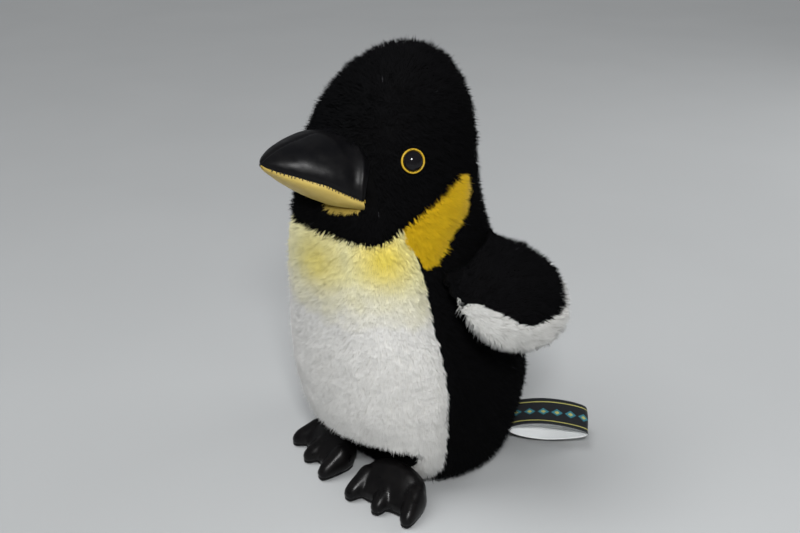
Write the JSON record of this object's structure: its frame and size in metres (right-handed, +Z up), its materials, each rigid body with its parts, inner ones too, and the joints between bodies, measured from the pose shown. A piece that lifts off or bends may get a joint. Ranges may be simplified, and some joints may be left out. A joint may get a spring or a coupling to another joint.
{
  "type": "plush penguin toy",
  "caption": "Soft stuffed penguin sitting upright, with a plush body, vinyl beak and feet, hinged flippers and a sewn-in loop label.",
  "frame": {"origin": "centre of the flat base, on the surface that the toy stands on", "axes": "+Z up, crown to the top; the face and beak point to -Y; the toy's own left is +X"},
  "size_m": [0.1824, 0.1677, 0.222],
  "materials": {
    "black_plush": "dense short pile",
    "white_plush": "dense short pile",
    "yellow_plush": "dense short pile",
    "black_vinyl": "glossy soft vinyl",
    "yellow_vinyl": "satin soft vinyl",
    "eye_black": "polished",
    "eye_yellow": "polished",
    "washer_white": "moulded",
    "stuffing": "loose polyester fibre",
    "pellet_bag": "woven bag of plastic pellets",
    "black_satin": "woven satin ribbon, white inside"
  },
  "bodies": {
    "torso": {"base_panel": "black_plush", "ear_patch_left": "yellow_plush", "ear_patch_right": "yellow_plush", "belly_panel": "white_plush", "mouth_corner_left": "yellow_plush", "mouth_corner_right": "yellow_plush", "eye_left": "eye_black", "eye_right": "eye_black", "eye_ring_left": "eye_yellow", "eye_ring_right": "eye_yellow", "eye_washer_left": "washer_white", "eye_washer_right": "washer_white", "side_cover_left": "black_plush", "side_cover_right": "black_plush", "head_filling": "stuffing", "body_filling": "stuffing", "pellet_pouch": "pellet_bag", "beak_upper_left": "black_vinyl", "beak_upper_right": "black_vinyl", "beak_lower": "yellow_vinyl", "beak_filling": "stuffing"},
    "wing_left": {"wing_upper_left": "black_plush", "wing_under_left": "white_plush", "wing_filling_left": "stuffing"},
    "foot_left": {"foot_upper_left": "black_vinyl", "foot_sole_left": "black_vinyl", "foot_filling_left": "stuffing"},
    "wing_right": {"wing_upper_right": "black_plush", "wing_under_right": "white_plush", "wing_filling_right": "stuffing"},
    "foot_right": {"foot_upper_right": "black_vinyl", "foot_sole_right": "black_vinyl", "foot_filling_right": "stuffing"},
    "label": {"label_loop": "black_satin"}
  },
  "joints": [
    {"name": "wing_left_flap", "type": "hinge", "parent": "torso", "child": "wing_left", "pos_m": [0.0486, -0.0025, 0.1282], "axis": [0.2704, -0.924, -0.2704], "range_deg": [-8, 20], "stiffness_Nm_per_rad": 0.4},
    {"name": "wing_right_flap", "type": "hinge", "parent": "torso", "child": "wing_right", "pos_m": [-0.0486, 0.0025, 0.1282], "axis": [0.2704, 0.924, 0.2704], "range_deg": [-8, 20], "stiffness_Nm_per_rad": 0.4},
    {"name": "foot_left_lift", "type": "hinge", "parent": "torso", "child": "foot_left", "pos_m": [0.03326, -0.033, 0.0173], "axis": [-0.9744, -0.225, 0], "range_deg": [0, 20], "stiffness_Nm_per_rad": 0.3},
    {"name": "foot_right_lift", "type": "hinge", "parent": "torso", "child": "foot_right", "pos_m": [-0.01426, -0.033, 0.0173], "axis": [-0.9744, 0.225, 0], "range_deg": [0, 20], "stiffness_Nm_per_rad": 0.3},
    {"name": "label_flip", "type": "hinge", "parent": "torso", "child": "label", "pos_m": [0.03233, 0.0445, 0.0113], "axis": [0.652, -0.7241, -0.225], "range_deg": [0, 35], "stiffness_Nm_per_rad": 0.02}
  ]
}
